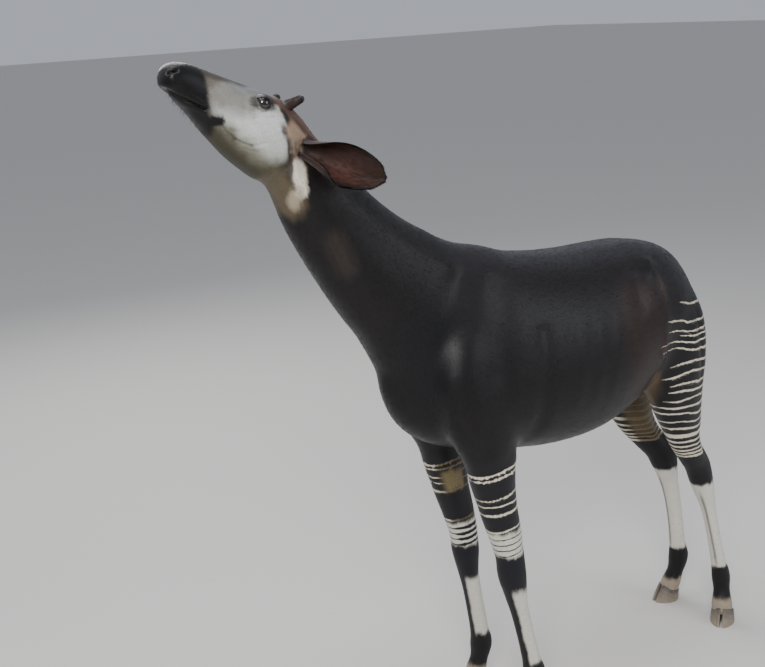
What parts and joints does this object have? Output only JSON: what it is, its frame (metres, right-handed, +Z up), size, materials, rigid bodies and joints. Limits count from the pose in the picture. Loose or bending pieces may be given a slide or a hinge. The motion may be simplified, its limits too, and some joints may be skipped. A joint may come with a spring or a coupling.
{
  "type": "okapi",
  "caption": "Standing okapi, life size, with the neck stretched forward and up to browse, striped haunches and upper forelegs, pale shanks and large ears.",
  "frame": {"origin": "bottom centre of the bounding box, on the floor under the soles", "axes": "+Z up, the head faces -X and the animal's left side is -Y"},
  "size_m": [1.994, 0.4928, 2.071],
  "materials": {
    "coat": "short glossy hair, dark brown with cream stripes",
    "hoof_horn": "grey-brown horn, satin",
    "eye": "wet gloss"
  },
  "bodies": {
    "root": {"torso": "coat", "neck": "coat", "head": "coat", "claw_inner_foreleg_left": "hoof_horn", "claw_inner_foreleg_right": "hoof_horn", "claw_inner_hindleg_left": "hoof_horn", "claw_inner_hindleg_right": "hoof_horn", "claw_outer_foreleg_left": "hoof_horn", "claw_outer_foreleg_right": "hoof_horn", "claw_outer_hindleg_left": "hoof_horn", "claw_outer_hindleg_right": "hoof_horn", "ear_left": "coat", "ear_right": "coat", "eye_left": "eye", "eye_right": "eye", "foreleg_left": "coat", "foreleg_right": "coat", "hindleg_left": "coat", "hindleg_right": "coat", "ossicone_left": "coat", "ossicone_right": "coat", "tail": "coat"}
  },
  "joints": []
}
